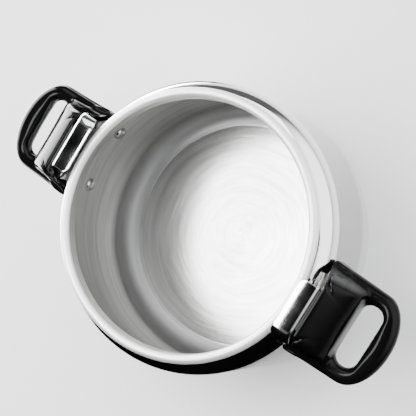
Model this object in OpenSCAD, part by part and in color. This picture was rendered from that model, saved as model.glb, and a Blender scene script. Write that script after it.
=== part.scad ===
// Open pot of a pressure cooker, with clamp ears and loop handles.
// Millimetres. +Z runs up out of the mouth, the handles lie along +X and -X,
// and the origin is the centre of the base's underside.

/* [Pot] */
// Inner radius of the mouth
mouth_r = 105; // [90:1:115]
// Section radius of the rolled lip
lip_r = 4.1; // [3:0.1:4.5]
// Outer radius of the pot at the shoulder
body_r = 123.1; // [122:0.1:124]
// Height from the underside of the sheet to the middle of the lip
pot_depth = 150.5; // [140:0.5:190]
// Outer radius of the bottom corner
corner_r = 20; // [8:1:22]
// Thickness of the sheet
wall_t = 1; // [0.8:0.1:1.2]
// Depth of the shoulder line below the middle of the lip
shoulder_drop = 26; // [24:0.5:30]
// Step between the polished shoulder and the satin wall
wall_step = 0.3; // [0.2:0.05:0.4]

/* [Base] */
// Radius of the heat-spreading disc
core_r = 99; // [80:1:104]
// Thickness of the heat-spreading disc
core_t = 4.7; // [3:0.1:7]
// Thickness of the steel cap around the disc
cap_t = 0.8; // [0.6:0.1:1]

/* [Ears] */
// Width of an ear across the pot's side
ear_w = 66; // [60:1:66]
// Height of an ear's top above the middle of the lip
ear_rise = 14; // [12:0.5:18]
// Distance from the pot's axis to the hooking edge
ear_edge_x = 110; // [108:0.5:114]
// Distance from the pot's axis to the ear's outer face
ear_fold_x = 127; // [126.8:0.1:128]
// Thickness of the ear and bracket sheet
ear_t = 2; // [1.8:0.1:2]
// Outer bend radius of the ear
ear_bend_r = 4; // [3:0.5:5]
// Distance from the handle's centre line to the open end of the ear's hook
hook_end_y = 19; // [16:1:22]

/* [Handles] */
// Half width of a handle where its end begins to round off
handle_half_w = 40.5; // [39:0.5:43]
// Half width of a handle at its root
root_half_w = 42.3; // [42:0.1:44]
// Distance from the pot's axis to the outer tip of a handle
handle_tip_x = 193; // [190:1:200]
// Length of the elliptical end
handle_end_l = 25; // [22:1:30]
// Thickness of the loop
handle_t = 15; // [13:0.5:17]
// Distance from the pot's axis to the inner side of the finger hole
hole_in_x = 155; // [153:0.5:157]
// Width of the finger hole along the radius
hole_w = 20; // [19.5:0.5:22]
// Length of the finger hole across the handle
hole_l = 54; // [48:1:60]
// Corner radius of the finger hole
hole_r = 9.5; // [6:0.5:9.5]

/* [Fasteners] */
// Angle of each rivet from the handle's centre line
rivet_angle = 12.8; // [10:0.1:14]
// Depth of the rivets below the middle of the lip
rivet_drop = 55.5; // [54:0.5:57]
// Radius of a rivet's domed inner head
rivet_head_r = 6.2; // [5:0.1:7]
// Radius of a rivet's shank
rivet_r = 2.4; // [2:0.1:2.5]
// Distance of each handle screw from the handle's centre line
screw_y = 15; // [12:0.5:17]
// Distance from the pot's axis to the handle screws
screw_x = 141; // [138:0.5:143]
// Radius of a handle screw's shank
screw_r = 1.95; // [1.9:0.05:2]

/* [Hidden] */

fine = 180;
small = 48;
turn_n = 12;
lip_n = 28;
cut = 1;
gap = 0.1;
LEFT = 180;
RIGHT = 0;
LIP_START = -135;
PLAN_STEP = 5;
FRONT = -1;
BACK = 1;

// Pot heights and radii
base_h = cap_t + core_t;
mouth_z = base_h + pot_depth;
shoulder_z = mouth_z - shoulder_drop;
lip_c = mouth_r + lip_r;
neck_r = mouth_r + wall_t;
shoulder_r = body_r - neck_r;
wall_r = body_r - wall_step;
wall_in_r = wall_r - wall_t;

// Ear and bracket heights and radii
ear_top = mouth_z + ear_rise;
leg_r = body_r + gap;
leg_out_r = leg_r + ear_t;
strap_r = leg_out_r + gap / 2;
strap_out_r = strap_r + ear_t;
rivet_z = mouth_z - rivet_drop;
leg_margin = 11;
leg_bottom = rivet_z - leg_margin;
leg_top = shoulder_z + ear_t;
leg_corner_r = 5;
notch_r = ear_w / 2 - hook_end_y;
notch_drop = 9;
notch_z = ear_top - notch_drop;

// Handle heights
handle_z = shoulder_z - handle_t / 2;
handle_top = handle_z + handle_t;
gasket_t = 0.9;
handle_back_x = ear_fold_x + gasket_t + gap;
arm_gap = 1;
arm_in_y = ear_w / 2 + arm_gap;
crest_drop = 1;
crest_z = ear_top - crest_drop;
bridge_r = 60;
bridge_top_a = 62;
bridge_low_a = 30;
root_x = 100;
tongue_x = 151;
tongue_w = 48;
tongue_t = 2.4;
tongue_top = handle_z - gap;
tongue_z = tongue_top - tongue_t;
gasket_margin = 1;
gasket_w = 2 * (hook_end_y - gasket_margin);
vent_y = 10;
vent_z = (leg_top + crest_z) / 2;
vent_r = 3.5;

// Small fastener sizes
washer_r = 4.2;
washer_t = 0.8;
insert_r = 3.5;
insert_l = 9;
head_r = 3.6;
head_h = 2.6;
key_r = 1.5;
key_h = 1.6;
dome_h = 4.2;
tail_r = 4.2;
tail_h = 1.6;

// Points of an arc about [x, y], from angle a to angle b
function arc(x, y, r, a, b, n = turn_n) =
  [for (i = [0:n]) [x + r * cos(a + (b - a) * i / n), y + r * sin(a + (b - a) * i / n)]];

// Corners of a plate from x0 to x1 and w wide, with its two x1 corners rounded to r
function tab(x0, x1, w, r) =
  concat([[x0, w / 2], [x0, -w / 2]], arc(x1 - r, r - w / 2, r, -90, 0), arc(x1 - r, w / 2 - r, r, 0, 90));

// Half of the pot's section, from the underside's centre round the lip to the floor's centre
pot_section = concat(
  [[0, base_h]],
  arc(wall_r - corner_r, base_h + corner_r, corner_r, -90, 0),
  [[wall_r, shoulder_z - wall_step]],
  arc(neck_r, shoulder_z, shoulder_r, 0, 90),
  [[neck_r, mouth_z - lip_r / 2]],
  arc(lip_c, mouth_z, lip_r, LIP_START, 180, lip_n),
  [[mouth_r, shoulder_z + shoulder_r - wall_t]],
  arc(neck_r, shoulder_z, shoulder_r - wall_t, 90, 0),
  [[wall_in_r, shoulder_z - wall_step]],
  arc(wall_r - corner_r, base_h + corner_r, corner_r - wall_t, 0, -90),
  [[0, base_h + wall_t]]
);

// The steel cap's section: a flat dish with a rounded edge
cap_r = core_r + gap + cap_t;
cap_edge_r = 3;
cap_section = concat(
  [[0, 0]],
  arc(cap_r - cap_edge_r, cap_edge_r, cap_edge_r, -90, 0),
  [[cap_r, base_h - gap], [cap_r - cap_t, base_h - gap]],
  arc(cap_r - cap_edge_r, cap_edge_r, cap_edge_r - cap_t, 0, -90),
  [[0, cap_t]]
);

// The ear's bent section: hooking edge, bend and upright leg
ear_section = concat(
  [[ear_edge_x, ear_top - ear_t], [ear_edge_x, ear_top]],
  arc(ear_fold_x - ear_bend_r, ear_top - ear_bend_r, ear_bend_r, 90, 0),
  [[ear_fold_x, leg_top - ear_t], [ear_fold_x - ear_t, leg_top - ear_t]],
  arc(ear_fold_x - ear_bend_r, ear_top - ear_bend_r, ear_bend_r - ear_t, 0, 90)
);

// Plan of the handle's outer edge: straight sides and an elliptical end
end_x = handle_tip_x - handle_end_l;
handle_plan = concat(
  [[root_x, root_half_w], [root_x, -root_half_w]],
  [for (a = [-90:PLAN_STEP:90]) [end_x + handle_end_l * cos(a), handle_half_w * sin(a)]]
);

// Section of the bridge between the ear and the finger hole
bridge_section = concat(
  [[hole_in_x, handle_z], [handle_back_x, handle_z], [handle_back_x, crest_z]],
  arc(hole_in_x - bridge_r * cos(bridge_low_a), crest_z - bridge_r * sin(bridge_top_a),
    bridge_r, bridge_top_a, bridge_low_a)
);

// Outline in Y and Z of the metal cut away at the open end of the hook
notch_outline = concat(
  [[ear_w / 2 + cut, notch_z - notch_r], [ear_w / 2 + cut, ear_top + cut], [hook_end_y, ear_top + cut]],
  arc(hook_end_y + notch_r, notch_z, notch_r, 180, 270)
);

// Turns a child about the pot's axis to one side
module on_side(side) {
  rotate([0, 0, side]) children();
}

// Extrudes a section drawn in X and Z across the pot's side
module across(w) {
  rotate([90, 0, 0]) linear_extrude(w, center = true) children();
}

// A round bar that lies along the radius at one rivet, from radius r0 outward
module at_rivet(end, r0) {
  rotate([0, 0, end * rivet_angle]) translate([r0, 0, rivet_z]) rotate([0, 90, 0]) children();
}

module rivet_holes() {
  for (end = [FRONT, BACK])
    at_rivet(end, mouth_r) cylinder(r = rivet_r + gap / 2, h = 2 * shoulder_r, $fn = small);
}

// A band that hugs the pot's wall on one side
module wall_band(r, z0, z1) {
  intersection() {
    difference() {
      translate([0, 0, z0]) cylinder(r = r + ear_t, h = z1 - z0, $fn = fine);
      translate([0, 0, z0 - cut]) cylinder(r = r, h = z1 - z0 + 2 * cut, $fn = fine);
    }
    translate([root_x, -ear_w / 2, z0 - cut]) cube([handle_end_l + root_x, ear_w, z1 - z0 + 2 * cut]);
  }
}

module pot_body() {
  color("gainsboro") difference() {
    rotate_extrude($fn = fine) polygon(pot_section);
    for (side = [LEFT, RIGHT]) on_side(side) rivet_holes();
  }
}

module base_core() {
  color("lightgray") translate([0, 0, cap_t]) cylinder(r = core_r - cap_edge_r, h = core_t, $fn = fine);
  color("lightgray") translate([0, 0, cap_edge_r]) cylinder(r = core_r, h = base_h - cap_edge_r, $fn = fine);
}

module base_cap() {
  color("silver") rotate_extrude($fn = fine) polygon(cap_section);
}

module ear_plate() {
  color("whitesmoke") difference() {
    union() {
      across(ear_w) polygon(ear_section);
      translate([0, 0, leg_top - ear_t]) difference() {
        translate([root_x, -ear_w / 2, 0]) cube([ear_fold_x - root_x, ear_w, ear_t]);
        translate([0, 0, -cut]) cylinder(r = leg_r, h = ear_t + 2 * cut, $fn = fine);
      }
      wall_band(leg_r, leg_bottom, leg_top);
    }
    rivet_holes();
    hook_notch();
    ear_corner_cut(hook_end_y);
    mirror([0, 1, 0]) ear_corner_cut(ear_w / 2);
  }
}

// Frees the open end of the hook, with a round sweep down to the wide leg
module hook_notch() {
  translate([root_x, 0, 0]) rotate([90, 0, 90]) linear_extrude(handle_back_x - root_x) polygon(notch_outline);
}

// Rounds one end of the hooking edge in plan
module ear_corner_cut(end_y) {
  translate([ear_edge_x, end_y - leg_corner_r, ear_top - ear_t - cut]) difference() {
    translate([-cut, 0, 0]) cube([leg_corner_r + cut, leg_corner_r + cut, ear_t + 2 * cut]);
    translate([leg_corner_r, 0, 0]) cylinder(r = leg_corner_r, h = ear_t + 2 * cut, $fn = small);
  }
}

module handle_bracket() {
  color("silver") difference() {
    union() {
      wall_band(strap_r, leg_bottom + cut, tongue_z + tongue_t / 2);
      translate([0, 0, tongue_z]) difference() {
        linear_extrude(tongue_t) polygon(tab(root_x, tongue_x, tongue_w, 2 * leg_corner_r));
        translate([0, 0, -cut]) cylinder(r = strap_r, h = tongue_t + 2 * cut, $fn = fine);
      }
    }
    rivet_holes();
    for (end = [FRONT, BACK])
      translate([screw_x, end * screw_y, tongue_z - cut])
        cylinder(r = screw_r + 2 * gap, h = tongue_t + 2 * cut, $fn = small);
  }
}

// The finger hole in plan: a rectangle with round corners
module finger_hole() {
  flat_w = hole_w - 2 * hole_r;
  flat_l = hole_l - 2 * hole_r;
  translate([hole_in_x + hole_r, -flat_l / 2]) {
    translate([-hole_r, 0]) square([hole_w, flat_l]);
    translate([0, -hole_r]) square([flat_w, hole_l]);
    for (x = [0, flat_w], y = [0, flat_l])
      translate([x, y]) circle(r = hole_r, $fn = small);
  }
}

module handle() {
  color([0.06, 0.06, 0.06]) difference() {
    union() {
      translate([0, 0, handle_z]) linear_extrude(handle_t) difference() {
        polygon(handle_plan);
        finger_hole();
      }
      across(ear_w) polygon(bridge_section);
    }
    translate([0, 0, handle_z - cut]) cylinder(r = body_r + arm_gap, h = handle_t + 2 * cut, $fn = fine);
    translate([root_x, -arm_in_y, handle_z - cut])
      cube([handle_back_x - root_x, 2 * arm_in_y, handle_t + 2 * cut]);
    for (end = [FRONT, BACK])
      translate([screw_x, end * screw_y, handle_z - cut])
        cylinder(r = insert_r + gap / 2, h = insert_l + cut + gap, $fn = small);
  }
}

module heat_gasket() {
  color("dimgray") translate([ear_fold_x + gap / 2, 0, 0]) difference() {
    translate([0, -gasket_w / 2, leg_top]) cube([gasket_t, gasket_w, crest_z - leg_top - cut]);
    for (end = [FRONT, BACK])
      translate([-cut, end * vent_y, vent_z]) rotate([0, 90, 0])
        cylinder(r = vent_r, h = gasket_t + 2 * cut, $fn = small);
  }
}

module dome(r, h) {
  ball_r = (r * r + h * h) / (2 * h);
  intersection() {
    translate([0, 0, h - ball_r]) sphere(r = ball_r, $fn = fine);
    cylinder(r = r, h = h, $fn = small);
  }
}

module rivet(end) {
  color("silver") at_rivet(end, wall_in_r) mirror([0, 0, 1]) dome(rivet_head_r, dome_h);
  color("silver") at_rivet(end, wall_in_r) cylinder(r = rivet_r, h = strap_out_r - wall_in_r, $fn = small);
  color("silver") at_rivet(end, strap_out_r) dome(tail_r, tail_h);
}

module insert(end) {
  color("goldenrod") translate([screw_x, end * screw_y, handle_z]) difference() {
    cylinder(r = insert_r, h = insert_l, $fn = small);
    translate([0, 0, -cut]) cylinder(r = screw_r + gap / 2, h = insert_l + 2 * cut, $fn = small);
  }
}

module screw(end) {
  shank_l = washer_t + tongue_t + insert_l;
  color("lightgray") translate([screw_x, end * screw_y, tongue_z - washer_t]) difference() {
    union() {
      cylinder(r = screw_r, h = shank_l - gap, $fn = small);
      translate([0, 0, -head_h]) cylinder(r = head_r, h = head_h, $fn = small);
    }
    translate([0, 0, -head_h - cut]) cylinder(r = key_r, h = key_h + cut, $fn = 6);
  }
}

module washer(end) {
  color("silver") translate([screw_x, end * screw_y, tongue_z - washer_t]) difference() {
    cylinder(r = washer_r, h = washer_t, $fn = small);
    translate([0, 0, -cut]) cylinder(r = screw_r + gap, h = washer_t + 2 * cut, $fn = small);
  }
}

pot_body();
base_core();
base_cap();
on_side(LEFT) ear_plate();  // left_ear_plate
on_side(RIGHT) ear_plate();  // right_ear_plate
on_side(LEFT) handle_bracket();  // left_handle_bracket
on_side(RIGHT) handle_bracket();  // right_handle_bracket
on_side(LEFT) handle();  // left_handle
on_side(RIGHT) handle();  // right_handle
on_side(LEFT) heat_gasket();  // left_heat_gasket
on_side(RIGHT) heat_gasket();  // right_heat_gasket
on_side(LEFT) rivet(BACK);  // left_rivet_front
on_side(LEFT) rivet(FRONT);  // left_rivet_back
on_side(RIGHT) rivet(FRONT);  // right_rivet_front
on_side(RIGHT) rivet(BACK);  // right_rivet_back
on_side(LEFT) insert(BACK);  // left_insert_front
on_side(LEFT) insert(FRONT);  // left_insert_back
on_side(RIGHT) insert(FRONT);  // right_insert_front
on_side(RIGHT) insert(BACK);  // right_insert_back
on_side(LEFT) screw(BACK);  // left_screw_front
on_side(LEFT) screw(FRONT);  // left_screw_back
on_side(RIGHT) screw(FRONT);  // right_screw_front
on_side(RIGHT) screw(BACK);  // right_screw_back
on_side(LEFT) washer(BACK);  // left_washer_front
on_side(LEFT) washer(FRONT);  // left_washer_back
on_side(RIGHT) washer(FRONT);  // right_washer_front
on_side(RIGHT) washer(BACK);  // right_washer_back
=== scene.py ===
"""Looks of an open pressure-cooker pot with clamp ears and loop handles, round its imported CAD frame."""
import math

import bpy
from mathutils import Matrix, Vector


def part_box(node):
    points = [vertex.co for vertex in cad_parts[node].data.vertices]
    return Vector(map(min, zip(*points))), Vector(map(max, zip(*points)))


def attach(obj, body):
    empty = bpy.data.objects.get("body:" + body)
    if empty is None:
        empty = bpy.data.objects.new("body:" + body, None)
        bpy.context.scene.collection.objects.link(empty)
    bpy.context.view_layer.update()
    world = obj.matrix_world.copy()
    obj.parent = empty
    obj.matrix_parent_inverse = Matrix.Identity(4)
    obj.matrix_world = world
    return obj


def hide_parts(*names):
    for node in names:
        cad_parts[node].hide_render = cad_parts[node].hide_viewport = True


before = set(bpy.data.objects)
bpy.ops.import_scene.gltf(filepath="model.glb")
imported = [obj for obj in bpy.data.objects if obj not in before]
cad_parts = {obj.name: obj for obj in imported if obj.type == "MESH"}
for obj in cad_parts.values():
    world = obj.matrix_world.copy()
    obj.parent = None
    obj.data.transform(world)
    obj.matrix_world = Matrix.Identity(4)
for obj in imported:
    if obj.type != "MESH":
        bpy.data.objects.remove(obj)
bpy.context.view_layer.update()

# ---- sizes, in metres; the frame gives the places ----
MM = 0.001
BODY = "root"
SIDES = {"right": 0.0, "left": math.pi}
ENDS = {"front": -1, "back": 1}

pot_lo, pot_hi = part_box("pot_body")
ear_lo, ear_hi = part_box("right_ear_plate")
handle_lo, handle_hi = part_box("right_handle")
cap_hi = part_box("base_cap")[1]

# the pot's sheet: a rolled lip, a neck, a round shoulder, a wall and a round corner to the floor
LIP_R = 4.1 * MM
LIP_STEPS = 40
MOUTH_R = 105 * MM
MOUTH_Z = pot_hi.z - LIP_R
BODY_R = pot_hi.x
BASE_Z = pot_lo.z
WALL_T = 1 * MM
FLOOR_Z = BASE_Z + WALL_T
WALL_STEP = 0.3 * MM
CORNER_R = 20 * MM
CORNER_STEPS = 16
SHOULDER_Z = MOUTH_Z - 26 * MM
SHOULDER_STEPS = 28
NECK_R = MOUTH_R + WALL_T
SHOULDER_R = BODY_R - NECK_R
WALL_R = BODY_R - WALL_STEP
LATHE_STEPS = 256

# the cap round the base
CAP_R = cap_hi.x
CAP_TOP = cap_hi.z
CAP_T = 0.8 * MM
CAP_EDGE_R = 3 * MM
CAP_STEPS = 10

# the ears, made on the +X side: a crowned hook, a bend, a leg and a foot that follows the wall
EAR_EDGE_X = ear_lo.x
EAR_FOLD_X = ear_hi.x
EAR_TOP = ear_hi.z
EAR_BOTTOM = ear_lo.z
EAR_HALF_W = ear_hi.y
EAR_T = 2 * MM
EAR_EDGE_SOFT = 0.3 * MM
EAR_BEND_R = 4 * MM
EAR_CROWN_R = 60 * MM
EAR_LEAD = 3
EAR_ROLL = 13 * MM
EAR_ROLL_SHARE = 0.6
EAR_CORNER = 5 * MM
EAR_CORNER_DEPTH = 4 * MM
EAR_ACROSS = 48
ARC_STEPS = 10
HOOK_END_Y = 19 * MM
NOTCH_DROP = 9 * MM
BEND_ROWS = 3
SWEEP_ROWS = 15
FOOT_ROWS = 44
STRAP_R = BODY_R + 2.1 * MM
# below this height the ear's leg takes the darker bracket steel, as painted shade
SHADED_LEG_Z = SHOULDER_Z + 9 * MM

# the handles, made on the +X side: a loop, and a bridge that rises to a crest beside the ear
HANDLE_T = 15 * MM
HANDLE_Z = handle_lo.z
HANDLE_TOP = HANDLE_Z + HANDLE_T
CREST_Z = handle_hi.z
HANDLE_TIP_X = handle_hi.x
HANDLE_END_L = 25 * MM
HANDLE_HALF_W = 40.5 * MM
ROOT_HALF_W = 42.1 * MM
ROOT_R = BODY_R + 1 * MM
ROOT_STEP = 1 * MM
ROOT_SIDE_Y = EAR_HALF_W + 1.2 * MM
HANDLE_BACK_X = EAR_FOLD_X + 1 * MM
BRIDGE_R = 60 * MM
BRIDGE_TOP = math.radians(62)
BRIDGE_LOW = math.radians(30)
HOLE_IN_X = 155 * MM
HOLE_W = 20 * MM
HOLE_MID_X = HOLE_IN_X + HOLE_W / 2
HOLE_HALF_L = 27 * MM
HOLE_R = 9.5 * MM
HOLE_STEPS = 8
BRIDGE_EDGE_R = 4 * MM
HOLE_EDGE_R = 6.5 * MM
OUTER_EDGE_R = 6.8 * MM
BACK_EDGE_R = 2 * MM
BACK_EDGE_REACH = 4 * MM
EDGE_SHARE = 0.45
EDGE_STEPS = 6
TOP_STEPS = 12
OUTLINE_STEPS = 18
RING_COUNT = 180
NEARLY_NONE = 1e-6

# the rivets, along their own axis
RIVET_Z = MOUTH_Z - 55.5 * MM
RIVET_ANGLE = math.radians(12.8)
RIVET_HEAD_R = 6.2 * MM
RIVET_HEAD_H = 4.2 * MM
RIVET_HEAD_ROUND = 0.86
RIVET_SHANK_R = 2.4 * MM
RIVET_TAIL_R = 4.2 * MM
RIVET_TAIL_H = 1.6 * MM
RIVET_IN = WALL_R - WALL_T
RIVET_OUT = BODY_R + 4.15 * MM
RIVET_STEPS = 48

# ---- camera and studio, in metres and degrees ----
VIEW_TILT = math.radians(20.97)
VIEW_AZIMUTH = math.radians(19.52)
VIEW_ROLL = math.radians(77.18)
VIEW_DISTANCE = 937.4 * MM
VIEW_SHIFT_RIGHT = 19.13 * MM
VIEW_SHIFT_UP = 13.35 * MM
LENS = 99.5
SENSOR_WIDTH = 36
CLIP_NEAR = 0.01
CLIP_FAR = 50

LIGHTS_AIM = (0, 0, 0.1)
BRIGHT_SIDE = (0.61, 0.61, 0.5)
SKY_COLOUR = (0.97, 0.98, 1, 1)
SKY_FROM = 0.55
SKY_TO = 0.9
SKY_LOW = 0.15
SKY_HIGH = 3.5
FLOOR_HALF = 4

# softboxes: centre, level direction, width and height, brightness
SOFTBOXES = {
    "key": ((-0.225, -0.12, 0.95), (1, 0, 0), (0.35, 0.75), 19),
    "back_panel": ((-1.1, -0.1, 0.3), (0, 1, 0), (0.9, 0.7), 10),
    "side_panel": ((-0.5, 0.8, 0.95), (1, 0.6, 0), (0.9, 0.5), 4),
}

# black cards overhead: centre, width and height
OVERHEAD_CARDS = {
    "overhead_flag": ((-0.6, -0.03, 0.9), (0.38, 0.4)),
    "camera_flag": ((0.4, 0.16, 1.3), (0.3, 0.3)),
    "ear_flag": ((0.16, -0.14, 0.9), (0.36, 0.4)),
}

# the black card curved round one side of the pot
FLAG_R = 0.36
FLAG_TOP = 0.6
FLAG_FOOT_R = 0.135
FLAG_FOOT_Z = 0.001
FLAG_FROM = -130
FLAG_TO = -2
FLAG_FADE = 28
FLAG_STEPS = 48

# the bright board beside the left handle, and the black strip before it
BOARD_SECTION = [(-0.3, 0.002), (-0.8, 0.002), (-0.95, 0.1), (-1, 0.3), (-1, 0.75)]
BOARD_HALF_W = 0.34
BOARD_GLOW = 26
STRIP_LOW = (-0.3, -0.3)
STRIP_HIGH = (-0.18, 0.3)
STRIP_Z = 0.002


def camera_axes():
    """Unit vectors to the picture's right and up, and from the pot to the camera."""
    back = Vector((math.sin(VIEW_TILT) * math.cos(VIEW_AZIMUTH),
                   math.sin(VIEW_TILT) * math.sin(VIEW_AZIMUTH),
                   math.cos(VIEW_TILT)))
    level = Vector((0, 0, 1)).cross(back).normalized()
    rise = back.cross(level)
    right = math.cos(VIEW_ROLL) * level - math.sin(VIEW_ROLL) * rise
    up = math.sin(VIEW_ROLL) * level + math.cos(VIEW_ROLL) * rise
    return right, up, back


def make_camera():
    right, up, back = camera_axes()
    data = bpy.data.cameras.new("camera")
    data.lens = LENS
    data.sensor_width = SENSOR_WIDTH
    data.clip_start = CLIP_NEAR
    data.clip_end = CLIP_FAR
    camera = bpy.data.objects.new("camera", data)
    bpy.context.collection.objects.link(camera)
    mouth = Vector((0, 0, MOUTH_Z))
    spot = mouth + VIEW_SHIFT_RIGHT * right + VIEW_SHIFT_UP * up + VIEW_DISTANCE * back
    turn = Matrix((right, up, back)).transposed().to_4x4()
    camera.matrix_world = Matrix.Translation(spot) @ turn
    bpy.context.scene.camera = camera


def facing(centre, level):
    """Placement at a centre, with Z away from the aim and X as close as can be to a level direction."""
    away = (Vector(centre) - Vector(LIGHTS_AIM)).normalized()
    first = (Vector(level) - away * away.dot(Vector(level))).normalized()
    turn = Matrix((first, away.cross(first), away)).transposed().to_4x4()
    return Matrix.Translation(centre) @ turn


def make_softbox(name, centre, level, size, glow):
    """A softbox that faces the pot, with its brightness as radiance."""
    data = bpy.data.lights.new(name, "AREA")
    data.shape = "RECTANGLE"
    data.size, data.size_y = size
    data.energy = glow * math.pi * size[0] * size[1]
    light = bpy.data.objects.new(name, data)
    bpy.context.collection.objects.link(light)
    light.matrix_world = facing(centre, level)
    light.visible_camera = False


def make_world():
    """Pale studio surroundings that are brighter on one side, by direction."""
    world = bpy.data.worlds.new("studio")
    world.use_nodes = True
    nodes, links = world.node_tree.nodes, world.node_tree.links
    shade = nodes["Background"]
    place = nodes.new("ShaderNodeTexCoord")
    lobe = nodes.new("ShaderNodeVectorMath")
    lobe.operation = "DOT_PRODUCT"
    lobe.inputs[1].default_value = Vector(BRIGHT_SIDE).normalized()
    links.new(place.outputs["Generated"], lobe.inputs[0])
    glow = map_range(nodes, links, lobe.outputs["Value"], (SKY_FROM, SKY_TO), (SKY_LOW, SKY_HIGH), True)
    shade.inputs["Color"].default_value = SKY_COLOUR
    links.new(glow, shade.inputs["Strength"])
    bpy.context.scene.world = world


def reflection_only(thing):
    thing.visible_camera = False
    thing.visible_diffuse = False
    thing.visible_shadow = False
    thing.visible_transmission = False


def black_card(name):
    stuff, nodes, links, shader = principled(name)
    shader.inputs["Base Color"].default_value = (0.001, 0.001, 0.001, 1)
    shader.inputs["Specular IOR Level"].default_value = 0
    return stuff, nodes, links, shader


def make_overhead_card(name, centre, size):
    """A black card above the pot that only reflections see."""
    wide, high = size
    card = flat_panel(name, (-wide / 2, -high / 2), (wide / 2, high / 2), 0)
    card.matrix_world = facing(centre, (1, 0, 0))
    card.data.materials.append(black_card(name)[0])
    reflection_only(card)


def make_board():
    """A bright board that lies beside the left handle and curves up behind it, for reflections only."""
    points = [(x, y, z) for x, z in BOARD_SECTION for y in (-BOARD_HALF_W, BOARD_HALF_W)]
    faces = [(2 * i, 2 * i + 1, 2 * i + 3, 2 * i + 2) for i in range(len(BOARD_SECTION) - 1)]
    board = mesh_object("low_panel", points, faces, smooth=False)
    stuff, _, _, shader = principled("low_panel")
    shader.inputs["Base Color"].default_value = (0, 0, 0, 1)
    shader.inputs["Emission Color"].default_value = (1, 1, 1, 1)
    shader.inputs["Emission Strength"].default_value = BOARD_GLOW
    board.data.materials.append(stuff)
    reflection_only(board)


def make_strip():
    """A black strip between the left handle and the bright board, for reflections only."""
    strip = flat_panel("low_flag", STRIP_LOW, STRIP_HIGH, STRIP_Z)
    strip.data.materials.append(black_card("low_flag")[0])
    reflection_only(strip)


def make_side_flag():
    """A black card round one side of the pot and along the floor, with soft ends, for reflections only."""
    section = [(FLAG_FOOT_R, FLAG_FOOT_Z), (FLAG_R, FLAG_FOOT_Z), (FLAG_R, FLAG_TOP)]
    points = []
    for i in range(FLAG_STEPS + 1):
        a = math.radians(FLAG_FROM + (FLAG_TO - FLAG_FROM) * i / FLAG_STEPS)
        points.extend((r * math.cos(a), r * math.sin(a), z) for r, z in section)
    card = mesh_object("side_flag", points, grid_faces(FLAG_STEPS + 1, len(section)), smooth=False)
    stuff, nodes, links, shader = black_card("side_flag")
    x, y, _ = object_xyz(nodes, links)
    angle = math_node(nodes, links, "ARCTAN2", y, x)
    front = angle_fade(nodes, links, angle, FLAG_TO, FLAG_TO - FLAG_FADE)
    rear = angle_fade(nodes, links, angle, FLAG_FROM, FLAG_FROM + FLAG_FADE / 2)
    links.new(math_node(nodes, links, "MULTIPLY", front, rear), shader.inputs["Alpha"])
    card.data.materials.append(stuff)
    reflection_only(card)


def make_floor():
    floor = flat_panel("floor", (-FLOOR_HALF, -FLOOR_HALF), (FLOOR_HALF, FLOOR_HALF), 0)
    floor.data.materials.append(floor_paper("floor", (0.95, 0.95, 0.95), 0.55))


# ---- mesh helpers ----
def mesh_object(name, points, faces, smooth=True):
    mesh = bpy.data.meshes.new(name)
    mesh.from_pydata([tuple(p) for p in points], [], faces)
    mesh.update()
    for polygon in mesh.polygons:
        polygon.use_smooth = smooth
    thing = bpy.data.objects.new(name, mesh)
    bpy.context.collection.objects.link(thing)
    return thing


def flat_panel(name, low, high, z):
    """A level rectangle between two corners."""
    points = [(low[0], low[1], z), (high[0], low[1], z), (high[0], high[1], z), (low[0], high[1], z)]
    return mesh_object(name, points, [(0, 1, 2, 3)], smooth=False)


def grid_faces(rows, wide):
    """Faces between rows of points that are stored one row after the other."""
    return [(i * wide + j, (i + 1) * wide + j, (i + 1) * wide + j + 1, i * wide + j + 1)
            for i in range(rows - 1) for j in range(wide - 1)]


def quarter(count):
    """Angles of a quarter turn, from 0, in radians."""
    return [math.radians(90 * i / count) for i in range(count + 1)]


def arc(x, y, r, start, stop, count):
    """Points of an arc about (x, y), from one angle in degrees to another."""
    turns = [math.radians(start + (stop - start) * i / count) for i in range(count + 1)]
    return [(x + r * math.cos(a), y + r * math.sin(a)) for a in turns]


def lathe(name, section, steps=LATHE_STEPS):
    """Turns a section of (radius, height) about Z. Points on the axis become single poles."""
    points, faces, rows = [], [], []
    for r, z in section:
        if r < NEARLY_NONE:
            rows.append([len(points)] * steps)
            points.append((0, 0, z))
        else:
            rows.append(list(range(len(points), len(points) + steps)))
            points.extend((r * math.cos(math.tau * i / steps), r * math.sin(math.tau * i / steps), z)
                          for i in range(steps))
    for low, high in zip(rows, rows[1:]):
        for i in range(steps):
            j = (i + 1) % steps
            corners = [low[i], low[j], high[j], high[i]]
            faces.append(list(dict.fromkeys(corners)))
    return mesh_object(name, points, faces)


def sweep(name, rings):
    """A closed tube through closed rings that all have the same number of points."""
    count, around = len(rings), len(rings[0])
    points = [p for ring in rings for p in ring]
    faces = []
    for i in range(count):
        for j in range(around):
            a, b = (i + 1) % count, (j + 1) % around
            faces.append((i * around + j, i * around + b, a * around + b, a * around + j))
    return mesh_object(name, points, faces)


def smoothstep(low, high, value):
    t = min(1, max(0, (value - low) / (high - low)))
    return t * t * (3 - 2 * t)


def apply_modifiers(thing):
    bpy.context.view_layer.update()
    graph = bpy.context.evaluated_depsgraph_get()
    mesh = bpy.data.meshes.new_from_object(thing.evaluated_get(graph))
    thing.modifiers.clear()
    thing.data = mesh
    for polygon in mesh.polygons:
        polygon.use_smooth = True


def thicken(thing, thickness):
    """Gives a sheet its thickness, on the side that its faces point to."""
    modifier = thing.modifiers.new("thickness", "SOLIDIFY")
    modifier.thickness = thickness
    modifier.offset = 1
    modifier.use_even_offset = True
    apply_modifiers(thing)


def soften(thing, width):
    """Rounds the sharp edges."""
    modifier = thing.modifiers.new("edges", "BEVEL")
    modifier.width = width
    modifier.segments = 2
    modifier.limit_method = "ANGLE"
    modifier.angle_limit = math.radians(60)
    apply_modifiers(thing)


def relax(thing):
    """Evens out the ridges where a piece's surfaces meet."""
    modifier = thing.modifiers.new("blend", "SMOOTH")
    modifier.factor = 0.5
    modifier.iterations = 4
    apply_modifiers(thing)


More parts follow.
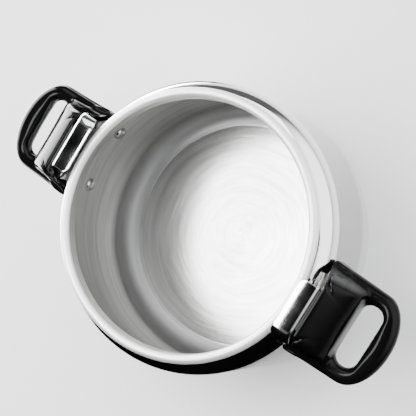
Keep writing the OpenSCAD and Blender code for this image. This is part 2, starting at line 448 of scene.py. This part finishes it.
def finish_piece(thing, turn, material, node):
    """Turns a piece made on the +X side to its own side and ties it to the frame."""
    thing.data.transform(Matrix.Rotation(turn, 4, "Z"))
    thing.data.materials.clear()
    thing.data.materials.append(material)
    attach(thing, BODY)
    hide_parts(node)


# ---- material helpers ----
def principled(name):
    stuff = bpy.data.materials.new(name)
    stuff.use_nodes = True
    return stuff, stuff.node_tree.nodes, stuff.node_tree.links, stuff.node_tree.nodes["Principled BSDF"]


def math_node(nodes, links, kind, first, second=None):
    node = nodes.new("ShaderNodeMath")
    node.operation = kind
    for socket, value in zip(node.inputs, (first, second)):
        if value is None:
            continue
        if isinstance(value, (int, float)):
            socket.default_value = value
        else:
            links.new(value, socket)
    return node.outputs[0]


def map_range(nodes, links, value, source, target=(0, 1), smooth=False):
    """Maps one range onto another and holds the ends."""
    ramp = nodes.new("ShaderNodeMapRange")
    if smooth:
        ramp.interpolation_type = "SMOOTHSTEP"
    ramp.inputs["From Min"].default_value = source[0]
    ramp.inputs["From Max"].default_value = source[1]
    ramp.inputs["To Min"].default_value = target[0]
    ramp.inputs["To Max"].default_value = target[1]
    links.new(value, ramp.inputs["Value"])
    return ramp.outputs["Result"]


def spread(nodes, links, value, low, high):
    """Maps noise, which gathers around a half, onto a range."""
    return map_range(nodes, links, value, (0.3, 0.7), (low, high))


def object_xyz(nodes, links):
    """The shaded point's three coordinates in the object."""
    place = nodes.new("ShaderNodeTexCoord")
    split = nodes.new("ShaderNodeSeparateXYZ")
    links.new(place.outputs["Object"], split.inputs[0])
    return split.outputs


def angle_fade(nodes, links, angle, clear, solid):
    """Goes from 0 to 1 between two directions, in degrees."""
    return map_range(nodes, links, angle, (math.radians(clear), math.radians(solid)), smooth=True)


def height_step(nodes, links, low, high):
    """Rises from 0 to 1 between two heights in the object."""
    return map_range(nodes, links, object_xyz(nodes, links)[2], (low, high), smooth=True)


def turned_noise(nodes, links, across, along, detail=3):
    """Noise that is fine across the pot's section and long round its axis, as turning and brushing leave."""
    x, y, z = object_xyz(nodes, links)
    squares = math_node(nodes, links, "ADD", math_node(nodes, links, "MULTIPLY", x, x),
                        math_node(nodes, links, "MULTIPLY", y, y))
    radius = math_node(nodes, links, "SQRT", squares)
    safe = math_node(nodes, links, "MAXIMUM", radius, 1e-4)
    cos_a = math_node(nodes, links, "DIVIDE", x, safe)
    sin_a = math_node(nodes, links, "DIVIDE", y, safe)
    join = nodes.new("ShaderNodeCombineXYZ")
    links.new(math_node(nodes, links, "MULTIPLY", radius, across), join.inputs["X"])
    links.new(math_node(nodes, links, "MULTIPLY", z, across), join.inputs["Y"])
    links.new(math_node(nodes, links, "MULTIPLY", cos_a, along), join.inputs["Z"])
    noise = nodes.new("ShaderNodeTexNoise")
    noise.noise_dimensions = "4D"
    noise.inputs["Scale"].default_value = 1
    noise.inputs["Detail"].default_value = detail
    links.new(join.outputs[0], noise.inputs["Vector"])
    links.new(math_node(nodes, links, "MULTIPLY", sin_a, along), noise.inputs["W"])
    return noise.outputs["Fac"]


def spot_noise(nodes, links, scale, detail=4):
    place = nodes.new("ShaderNodeTexCoord")
    noise = nodes.new("ShaderNodeTexNoise")
    noise.inputs["Scale"].default_value = scale
    noise.inputs["Detail"].default_value = detail
    links.new(place.outputs["Object"], noise.inputs["Vector"])
    return noise.outputs["Fac"]


def shade_range(nodes, links, value, dark, light):
    mix = nodes.new("ShaderNodeMix")
    mix.data_type = "RGBA"
    mix.inputs["A"].default_value = (*dark, 1)
    mix.inputs["B"].default_value = (*light, 1)
    links.new(value, mix.inputs["Factor"])
    return mix.outputs["Result"]


def set_colour(nodes, links, shader, noise, dark, light):
    """Lets noise move the base colour between two shades."""
    streak = spread(nodes, links, noise, 0, 1)
    links.new(shade_range(nodes, links, streak, dark, light), shader.inputs["Base Color"])


def set_rough(nodes, links, shader, noise, low, high):
    """Lets noise move the roughness between two values."""
    links.new(spread(nodes, links, noise, low, high), shader.inputs["Roughness"])


def add_bump(nodes, links, shader, height, strength, distance):
    bump = nodes.new("ShaderNodeBump")
    bump.inputs["Strength"].default_value = strength
    bump.inputs["Distance"].default_value = distance
    links.new(height, bump.inputs["Height"])
    links.new(bump.outputs["Normal"], shader.inputs["Normal"])


# ---- materials ----
def floor_paper(name, colour, rough):
    """Pale paper with a faint mottling and no shine."""
    stuff, nodes, links, shader = principled(name)
    noise = nodes.new("ShaderNodeTexNoise")
    noise.inputs["Scale"].default_value = 6
    tint = nodes.new("ShaderNodeMix")
    tint.data_type = "RGBA"
    tint.blend_type = "MULTIPLY"
    tint.inputs["Factor"].default_value = 1
    tint.inputs["A"].default_value = (*colour, 1)
    links.new(map_range(nodes, links, noise.outputs["Fac"], (0, 1), (0.97, 1.03)), tint.inputs["B"])
    links.new(tint.outputs["Result"], shader.inputs["Base Color"])
    shader.inputs["Roughness"].default_value = rough
    shader.inputs["Specular IOR Level"].default_value = 0
    return stuff


def brushed_steel(name, dark, light, rough, anisotropy, grain, depth, metallic=1):
    """Steel brushed round the pot's axis: streaked colour and roughness, and fine grooves."""
    stuff, nodes, links, shader = principled(name)
    fine = turned_noise(nodes, links, grain, 3)
    broad = turned_noise(nodes, links, grain / 4, 1.5)
    shader.inputs["Metallic"].default_value = metallic
    shader.inputs["Anisotropic"].default_value = anisotropy
    set_colour(nodes, links, shader, broad, dark, light)
    set_rough(nodes, links, shader, fine, rough * 0.85, rough * 1.2)
    tangent = nodes.new("ShaderNodeTangent")
    tangent.direction_type = "RADIAL"
    tangent.axis = "Z"
    links.new(tangent.outputs[0], shader.inputs["Tangent"])
    add_bump(nodes, links, shader, fine, depth, 0.05 * MM)
    return stuff


def paint_corner_shade(nodes, links, shader, extra_rough, corner_shade_colour):
    """Above the flat floor the steel is rougher, and in the round corner and low wall its colour is mixed
    towards a flat grey as painted shade.
    """
    off_floor = height_step(nodes, links, FLOOR_Z, FLOOR_Z + 0.15 * MM)
    above = height_step(nodes, links, FLOOR_Z + 8 * MM, FLOOR_Z + 30 * MM)
    below = math_node(nodes, links, "SUBTRACT", 1, above)
    mix = nodes.new("ShaderNodeMix")
    mix.data_type = "RGBA"
    mix.inputs["B"].default_value = (*corner_shade_colour, 1)
    # painted shade: over the corner and low wall the steel's colour is mixed towards the grey
    links.new(math_node(nodes, links, "MULTIPLY", off_floor, below), mix.inputs["Factor"])
    links.new(shader.inputs["Base Color"].links[0].from_socket, mix.inputs["A"])
    links.new(mix.outputs["Result"], shader.inputs["Base Color"])
    rough = shader.inputs["Roughness"].links[0].from_socket
    more = math_node(nodes, links, "MULTIPLY", off_floor, extra_rough)
    links.new(math_node(nodes, links, "ADD", rough, more), shader.inputs["Roughness"])


def inside_steel(name, dark, light):
    stuff = brushed_steel(name, dark, light, rough=0.23, anisotropy=0.6, grain=1200, depth=0.5)
    nodes, links = stuff.node_tree.nodes, stuff.node_tree.links
    # painted shade on the round corner, in grey 0.35, and more roughness above the floor
    paint_corner_shade(nodes, links, nodes["Principled BSDF"], 0.3, (0.35, 0.35, 0.35))
    return stuff


def polished_steel(name, dark, light, rough, waviness=0.05):
    """Mirror-polished steel with faint waviness, haze and handling marks."""
    stuff, nodes, links, shader = principled(name)
    haze = spot_noise(nodes, links, 60)
    wave = spot_noise(nodes, links, 25, 1)
    shader.inputs["Metallic"].default_value = 1
    set_colour(nodes, links, shader, haze, dark, light)
    set_rough(nodes, links, shader, haze, rough * 0.8, rough * 1.4)
    add_bump(nodes, links, shader, wave, waviness, 1 * MM)
    return stuff


def phenolic(name, dark, light):
    """Gloss black moulded resin with faint flow marks and worn, slightly duller patches."""
    stuff, nodes, links, shader = principled(name)
    flow = spot_noise(nodes, links, 45)
    grain = spot_noise(nodes, links, 900, 2)
    set_colour(nodes, links, shader, flow, dark, light)
    set_rough(nodes, links, shader, flow, 0.1, 0.17)
    shader.inputs["IOR"].default_value = 1.45
    shader.inputs["Specular IOR Level"].default_value = 0.12
    add_bump(nodes, links, shader, grain, 0.04, 0.05 * MM)
    return stuff


def small_part(name, dark, light, rough, metallic=1):
    """A small turned, pressed or cut part."""
    stuff, nodes, links, shader = principled(name)
    cast = spot_noise(nodes, links, 300)
    shader.inputs["Metallic"].default_value = metallic
    set_colour(nodes, links, shader, cast, dark, light)
    set_rough(nodes, links, shader, cast, rough * 0.8, rough * 1.3)
    add_bump(nodes, links, shader, cast, 0.08, 0.05 * MM)
    return stuff


def make_materials():
    return {
        "inside": inside_steel("steel_inside", (0.42, 0.42, 0.415), (0.6, 0.6, 0.59)),
        "wall": brushed_steel("steel_wall", (0.74, 0.74, 0.73), (0.82, 0.82, 0.81),
                              rough=0.2, anisotropy=0.5, grain=1800, depth=0.12),
        "polish": polished_steel("steel_polish", (0.82, 0.82, 0.81), (0.87, 0.87, 0.86), rough=0.06),
        "lip": brushed_steel("steel_lip", (0.9, 0.9, 0.89), (0.95, 0.95, 0.94),
                             rough=0.5, anisotropy=0.3, grain=900, depth=0.1, metallic=0.7),
        "ear": polished_steel("ear_polish", (0.72, 0.72, 0.72), (0.78, 0.78, 0.78), rough=0.08, waviness=0.1),
        "cap": brushed_steel("steel_cap", (0.62, 0.62, 0.61), (0.74, 0.74, 0.73),
                             rough=0.3, anisotropy=0.6, grain=1200, depth=0.3),
        "phenolic": phenolic("black_phenolic", (0.0015, 0.0015, 0.0018), (0.003, 0.003, 0.003)),
        "rivet": small_part("rivet_steel", (0.42, 0.42, 0.41), (0.52, 0.52, 0.51), rough=0.1),
        "bracket": small_part("bracket_steel", (0.52, 0.52, 0.52), (0.62, 0.62, 0.61), rough=0.3),
        "screw": small_part("screw_steel", (0.5, 0.5, 0.5), (0.62, 0.62, 0.6), rough=0.28),
        "brass": small_part("insert_brass", (0.62, 0.45, 0.2), (0.75, 0.58, 0.3), rough=0.3),
        "core": small_part("core_aluminium", (0.6, 0.6, 0.61), (0.7, 0.7, 0.71), rough=0.38),
        "gasket": small_part("gasket_sheet", (0.02, 0.02, 0.02), (0.04, 0.04, 0.04), rough=0.75, metallic=0),
    }


# ---- the pot ----
def pot_section():
    """The sheet's section, from the middle of its underside round the lip to the middle of the floor."""
    corner = (WALL_R - CORNER_R, BASE_Z + CORNER_R)
    shoulder = (NECK_R, SHOULDER_Z)
    outside = [(0, BASE_Z)] + arc(*corner, CORNER_R, -90, 0, CORNER_STEPS)
    outside += [(WALL_R, SHOULDER_Z - WALL_STEP)] + arc(*shoulder, SHOULDER_R, 0, 90, SHOULDER_STEPS)
    lip = [(NECK_R, MOUTH_Z - LIP_R * 0.7)] + arc(MOUTH_R + LIP_R, MOUTH_Z, LIP_R, -135, 180, LIP_STEPS)
    inside = [(MOUTH_R, SHOULDER_Z + SHOULDER_R - WALL_T)]
    inside += arc(*shoulder, SHOULDER_R - WALL_T, 90, 0, SHOULDER_STEPS)
    inside += [(WALL_R - WALL_T, SHOULDER_Z - WALL_STEP)]
    inside += arc(*corner, CORNER_R - WALL_T, 0, -90, CORNER_STEPS) + [(0, FLOOR_Z)]
    return outside + lip + inside


def pot_finish(spot, normal):
    """Which finish a face of the pot has."""
    faces_out = normal.x * spot.x + normal.y * spot.y > 0
    if spot.z > MOUTH_Z - LIP_R:
        return "lip"
    if faces_out and spot.z > SHOULDER_Z:
        return "polish"
    if faces_out and spot.xy.length > WALL_R - CORNER_R or spot.z < BASE_Z + WALL_T / 2:
        return "wall"
    return "inside"


def make_pot(stuff):
    pot = lathe("pot", pot_section())
    finishes = ("wall", "polish", "inside", "lip")
    for key in finishes:
        pot.data.materials.append(stuff[key])
    for polygon in pot.data.polygons:
        polygon.material_index = finishes.index(pot_finish(polygon.center, polygon.normal))
    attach(pot, BODY)
    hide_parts("pot_body")


def make_base(stuff):
    edge = (CAP_R - CAP_EDGE_R, CAP_EDGE_R)
    section = [(0, 0)] + arc(*edge, CAP_EDGE_R, -90, 0, CAP_STEPS)
    section += [(CAP_R, CAP_TOP), (CAP_R - CAP_T, CAP_TOP)]
    section += arc(*edge, CAP_EDGE_R - CAP_T, 0, -90, CAP_STEPS) + [(0, CAP_T)]
    cap = lathe("base_shell", section)
    cap.data.materials.append(stuff["cap"])
    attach(cap, BODY)
    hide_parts("base_cap")


# ---- the ears ----
def leg_heights(top):
    """Heights of the rows below the bend, close together where the open end sweeps out."""
    sweep_top = EAR_TOP - NOTCH_DROP
    reach = EAR_HALF_W - HOOK_END_Y
    low = sweep_top - reach
    rows = [top + (sweep_top - top) * i / BEND_ROWS for i in range(1, BEND_ROWS + 1)]
    rows += [sweep_top - reach * math.sin(a) for a in quarter(SWEEP_ROWS)[1:]]
    return rows + [low + (EAR_BOTTOM - low) * i / FOOT_ROWS for i in range(1, FOOT_ROWS + 1)]


def ear_outline(y):
    """Outer face of the ear sheet at one place across it, from the hooking edge down to the strap's foot."""
    crown_stop = EAR_FOLD_X - EAR_BEND_R
    lead = EAR_CROWN_R * math.sin(math.radians(EAR_LEAD))
    lean = math.degrees(math.asin((crown_stop - EAR_EDGE_X - lead) / EAR_CROWN_R))
    crown = (EAR_EDGE_X + lead, EAR_TOP - EAR_CROWN_R)
    row = arc(*crown, EAR_CROWN_R, 90 + EAR_LEAD, 90 - lean, ARC_STEPS)
    bend_x = row[-1][0] - EAR_BEND_R * math.sin(math.radians(lean))
    bend_z = row[-1][1] - EAR_BEND_R * math.cos(math.radians(lean))
    grow = EAR_FOLD_X - bend_x - EAR_BEND_R
    row = [(x + grow * i / ARC_STEPS, z) for i, (x, z) in enumerate(row)]
    row += arc(bend_x + grow, bend_z, EAR_BEND_R, 90 - lean, 0, ARC_STEPS)[1:]
    for z in leg_heights(bend_z):
        flat = smoothstep(SHOULDER_Z - 6 * MM, SHOULDER_Z + 4 * MM, z)
        curved = math.sqrt(STRAP_R * STRAP_R - y * y)
        row.append((curved + (EAR_FOLD_X - curved) * flat, z))
    return row


def hook_ends(x, z):
    """The ear's two ends in Y at one place: the open end is cut back and sweeps out to the wide leg."""
    low, high = -EAR_HALF_W, HOOK_END_Y
    reach = EAR_HALF_W - HOOK_END_Y
    centre = EAR_TOP - NOTCH_DROP
    if z < centre - reach:
        high = EAR_HALF_W
    elif z < centre:
        high = EAR_HALF_W - math.sqrt(max(0, reach ** 2 - (centre - z) ** 2))
    past = max(0, EAR_EDGE_X + EAR_CORNER - x) if z > EAR_TOP - EAR_CORNER_DEPTH else 0
    trim = EAR_CORNER - math.sqrt(max(0, EAR_CORNER ** 2 - past ** 2))
    return low + trim, high - trim


def closed_end_drop(y, z):
    """How far the ear's closed end rolls down towards the pot's shoulder."""
    past = min(EAR_ROLL, max(0, EAR_ROLL - EAR_HALF_W - y))
    roll = EAR_ROLL_SHARE * (EAR_ROLL - math.sqrt(EAR_ROLL ** 2 - past ** 2))
    return roll * smoothstep(SHOULDER_Z + 4 * MM, EAR_TOP - 6 * MM, z)


def make_ear(side, turn, stuff):
    base = ear_outline(0)
    points = []
    for i in range(EAR_ACROSS + 1):
        for j, (x, z) in enumerate(base):
            low, high = hook_ends(x, z)
            y = low + (high - low) * i / EAR_ACROSS
            points.append((ear_outline(y)[j][0], y, z - closed_end_drop(y, z)))
    ear = mesh_object(side + "_ear", points, grid_faces(EAR_ACROSS + 1, len(base)))
    thicken(ear, EAR_T)
    soften(ear, EAR_EDGE_SOFT)
    finish_piece(ear, turn, stuff["ear"], side + "_ear_plate")
    # the ear's lower leg takes the darker, rougher bracket steel; its darker colour is painted shade
    ear.data.materials.append(stuff["bracket"])
    for polygon in ear.data.polygons:
        polygon.material_index = 1 if polygon.center.z < SHADED_LEG_Z else 0


# ---- the handles ----
def outer_plan():
    """The handle's outer edge in plan, as a closed loop that starts at the middle of the pot's side."""
    arm_in = (math.sqrt(ROOT_R ** 2 - ROOT_SIDE_Y ** 2), ROOT_SIDE_Y)
    arm_out = (math.sqrt(ROOT_R ** 2 - ROOT_HALF_W ** 2) + ROOT_STEP, ROOT_HALF_W)
    end_x = HANDLE_TIP_X - HANDLE_END_L
    half = [(HANDLE_BACK_X, 0), (HANDLE_BACK_X, ROOT_SIDE_Y - 3 * MM), (HANDLE_BACK_X - 2 * MM, ROOT_SIDE_Y)]
    half += [arm_in, (arm_out[0] - ROOT_STEP, (arm_in[1] + arm_out[1]) / 2), arm_out]
    half += [(end_x + HANDLE_END_L * math.sin(a), HANDLE_HALF_W * math.cos(a))
             for a in quarter(OUTLINE_STEPS)]
    return half + [(x, -y) for x, y in reversed(half[1:-1])]


def hole_plan():
    """The finger hole's edge in plan: a rounded rectangle, as a closed loop."""
    x_in, x_out = HOLE_IN_X + HOLE_R, HOLE_IN_X + HOLE_W - HOLE_R
    corner_y = HOLE_HALF_L - HOLE_R
    half = [(HOLE_IN_X, 0)] + arc(x_in, corner_y, HOLE_R, 180, 90, HOLE_STEPS)
    half += arc(x_out, corner_y, HOLE_R, 90, 0, HOLE_STEPS) + [(HOLE_IN_X + HOLE_W, 0)]
    return half + [(x, -y) for x, y in reversed(half[1:-1])]


def ray_hit(loop, centre, angle):
    """Where a ray from the centre crosses a closed loop of points."""
    way = Vector((math.cos(angle), math.sin(angle)))
    best = None
    for p, q in zip(loop, loop[1:] + loop[:1]):
        a, b = Vector(p) - centre, Vector(q) - Vector(p)
        crossing = way.x * b.y - way.y * b.x
        if abs(crossing) < 1e-12:
            continue
        along = (a.x * b.y - a.y * b.x) / crossing
        share = (a.x * way.y - a.y * way.x) / crossing
        if along > 0 and -1e-9 <= share <= 1 + 1e-9 and (best is None or along > best):
            best = along
    return centre + way * best


def bridge_height(x, y):
    """Height of the handle's upper face: level on the loop, and a round back up to a crest beside the ear."""
    mid_x = HOLE_IN_X - BRIDGE_R * math.cos(BRIDGE_LOW)
    mid_z = CREST_Z - BRIDGE_R * math.sin(BRIDGE_TOP)
    past = max(x - mid_x, BRIDGE_R * math.cos(BRIDGE_TOP))
    back = mid_z + math.sqrt(max(0, BRIDGE_R ** 2 - past ** 2))
    if x > HOLE_IN_X + NEARLY_NONE:
        back = HANDLE_TOP
    shoulder = 1 - smoothstep(EAR_HALF_W - 5 * MM, EAR_HALF_W + 3 * MM, abs(y))
    return HANDLE_TOP + (back - HANDLE_TOP) * shoulder


def edge_radii(inner, outer, wide):
    """How round the handle's edges are at one section: round the finger hole, and on the outside."""
    on_bridge = inner.x < HOLE_IN_X + 1 * MM
    inner_r = min(BRIDGE_EDGE_R if on_bridge else HOLE_EDGE_R, wide * EDGE_SHARE)
    if outer.x < HANDLE_BACK_X + BACK_EDGE_REACH:
        return inner_r, BACK_EDGE_R
    return inner_r, min(OUTER_EDGE_R, wide * EDGE_SHARE)


def handle_ring(inner, outer):
    """One section of the handle between the finger hole and the outer edge, as a closed ring."""
    wide = (outer - inner).length
    inner_r, outer_r = edge_radii(inner, outer, wide)
    ring = []

    def add_low(share, rise):
        spot = inner.lerp(outer, share)
        ring.append((spot.x, spot.y, HANDLE_Z + rise))

    def add_top(share, drop=0):
        spot = inner.lerp(outer, share)
        ring.append((spot.x, spot.y, bridge_height(spot.x, spot.y) - drop))

    for x, z in arc(inner_r, inner_r, inner_r, 180, 270, EDGE_STEPS):
        add_low(x / wide, z)
    for x, z in arc(outer_r, outer_r, outer_r, 270, 360, EDGE_STEPS):
        add_low(1 - (2 * outer_r - x) / wide, z)
    for a in quarter(EDGE_STEPS):
        add_top(1 - outer_r * (1 - math.cos(a)) / wide, outer_r * (1 - math.sin(a)))
    start, stop = 1 - outer_r / wide, inner_r / wide
    for i in range(1, TOP_STEPS):
        add_top(start + (stop - start) * i / TOP_STEPS)
    for a in quarter(EDGE_STEPS):
        add_top(inner_r * (1 - math.sin(a)) / wide, inner_r * (1 - math.cos(a)))
    return ring


def make_handle(side, turn, stuff):
    centre = Vector((HOLE_MID_X, 0))
    outer, hole = outer_plan(), hole_plan()
    rings = []
    for i in range(RING_COUNT):
        angle = math.pi - math.tau * i / RING_COUNT
        rings.append(handle_ring(ray_hit(hole, centre, angle), ray_hit(outer, centre, angle)))
    handle = sweep(side + "_grip", rings)
    relax(handle)
    finish_piece(handle, turn, stuff["phenolic"], side + "_handle")


# ---- rivets ----
def rivet_section():
    """Domed head inside the pot, shank, and a low formed tail outside, along the rivet's own axis."""
    rim = RIVET_HEAD_H * (1 - RIVET_HEAD_ROUND)
    dome = RIVET_HEAD_H * RIVET_HEAD_ROUND
    head = [(RIVET_HEAD_R * math.sin(a), RIVET_IN - dome * math.cos(a) - rim) for a in quarter(ARC_STEPS)]
    tail = [(RIVET_TAIL_R * math.cos(a), RIVET_OUT + RIVET_TAIL_H * math.sin(a)) for a in quarter(ARC_STEPS)]
    shank = [(RIVET_HEAD_R, RIVET_IN), (RIVET_SHANK_R, RIVET_IN), (RIVET_SHANK_R, RIVET_OUT)]
    return head + shank + [(RIVET_TAIL_R, RIVET_OUT)] + tail


def make_rivet(side, turn, end, sign, stuff):
    rivet = lathe(f"{side}_pin_{end}", rivet_section(), RIVET_STEPS)
    tip = Matrix.Rotation(math.pi / 2, 4, "Y")
    swing = Matrix.Rotation(sign * RIVET_ANGLE, 4, "Z")
    rivet.data.transform(Matrix.Translation((0, 0, RIVET_Z)) @ swing @ tip)
    finish_piece(rivet, turn, stuff["rivet"], f"{side}_rivet_{end}")


def dress_frame(stuff):
    """Better materials on the CAD nodes that stay."""
    kinds = {"handle_bracket": "bracket", "heat_gasket": "gasket", "insert": "brass", "screw": "screw",
             "washer": "screw", "base_core": "core"}
    for name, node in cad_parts.items():
        for word, key in kinds.items():
            if word in name:
                node.data.materials.clear()
                node.data.materials.append(stuff[key])


def make_studio():
    make_floor()
    make_side_flag()
    for name, (centre, size) in OVERHEAD_CARDS.items():
        make_overhead_card(name, centre, size)
    for name, (centre, level, size, glow) in SOFTBOXES.items():
        make_softbox(name, centre, level, size, glow)
    make_board()
    make_strip()


def main():
    make_camera()
    make_world()
    stuff = make_materials()
    make_studio()
    make_pot(stuff)
    make_base(stuff)
    for side, turn in SIDES.items():
        make_ear(side, turn, stuff)
        make_handle(side, turn, stuff)
        for end, sign in ENDS.items():
            make_rivet(side, turn, end, sign if side == "right" else -sign, stuff)
    dress_frame(stuff)


main()
